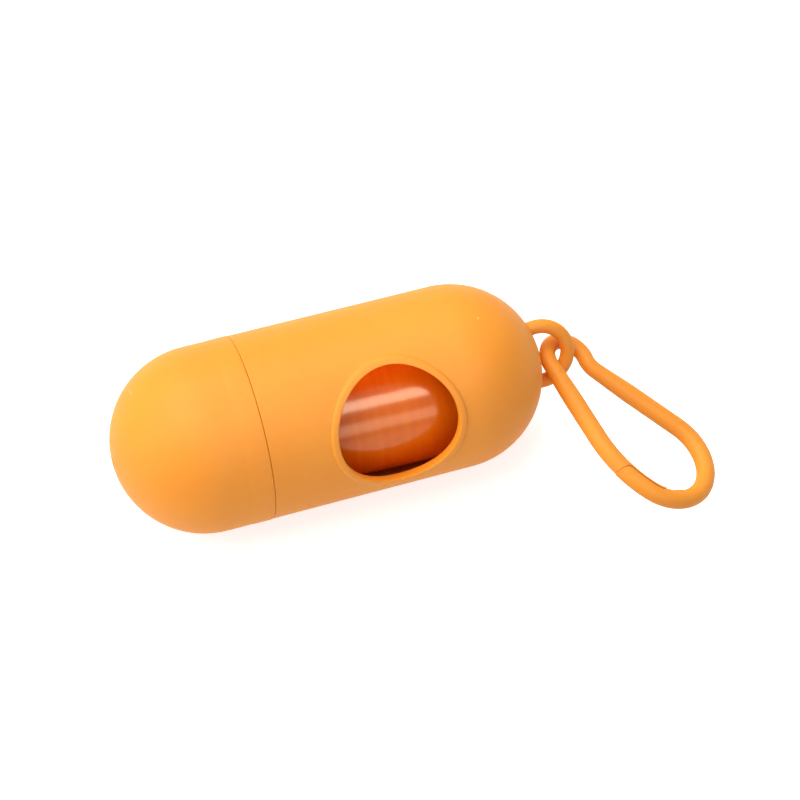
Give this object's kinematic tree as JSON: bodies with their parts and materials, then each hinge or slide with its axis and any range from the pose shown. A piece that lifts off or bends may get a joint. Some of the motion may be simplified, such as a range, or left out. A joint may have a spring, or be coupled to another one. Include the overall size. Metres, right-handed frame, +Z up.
{
  "type": "dog waste bag dispenser",
  "caption": "Moulded capsule with screw cap, round bag window and springy hook clip, holding a roll of dog waste bags.",
  "frame": {"origin": "on the surface that the capsule lies on, under the middle of the closed capsule", "axes": "+X along the capsule from the screw cap to the eye, +Z up; the window faces -Y and up"},
  "size_m": [0.1193, 0.0548, 0.038],
  "materials": {
    "shell_plastic": "satin moulded polypropylene",
    "clip_plastic": "satin moulded polypropylene",
    "bag_film": "glossy wound polyethylene film",
    "card": "plain rolled card"
  },
  "bodies": {
    "case": {"housing": "shell_plastic", "end_eye": "shell_plastic"},
    "cap": {"screw_cap": "shell_plastic"},
    "clip": {"clip_frame": "clip_plastic"},
    "gate": {"clip_gate": "clip_plastic"},
    "roll": {"bag_roll": "bag_film", "roll_core": "card"}
  },
  "joints": [
    {"name": "cap_lift_off", "type": "slide", "parent": "case", "child": "cap", "axis": [-1, 0, 0], "range_m": [0, 0.045]},
    {"name": "roll_spin", "type": "hinge", "parent": "case", "child": "roll", "pos_m": [-0.0011, 0, 0.01696], "axis": [0.999, 0, -0.0446], "continuous": true},
    {"name": "clip_swing", "type": "hinge", "parent": "case", "child": "clip", "pos_m": [0.05012, -0.00157, 0.01629], "axis": [-0.5225, -0.4263, -0.7384], "range_deg": [-40, 20]},
    {"name": "gate_flex", "type": "hinge", "parent": "clip", "child": "gate", "pos_m": [0.04881, -0.00459, 0.0166], "axis": [0.4562, -0.1039, 0.8838], "range_deg": [0, 15], "stiffness_Nm_per_rad": 0.5}
  ]
}
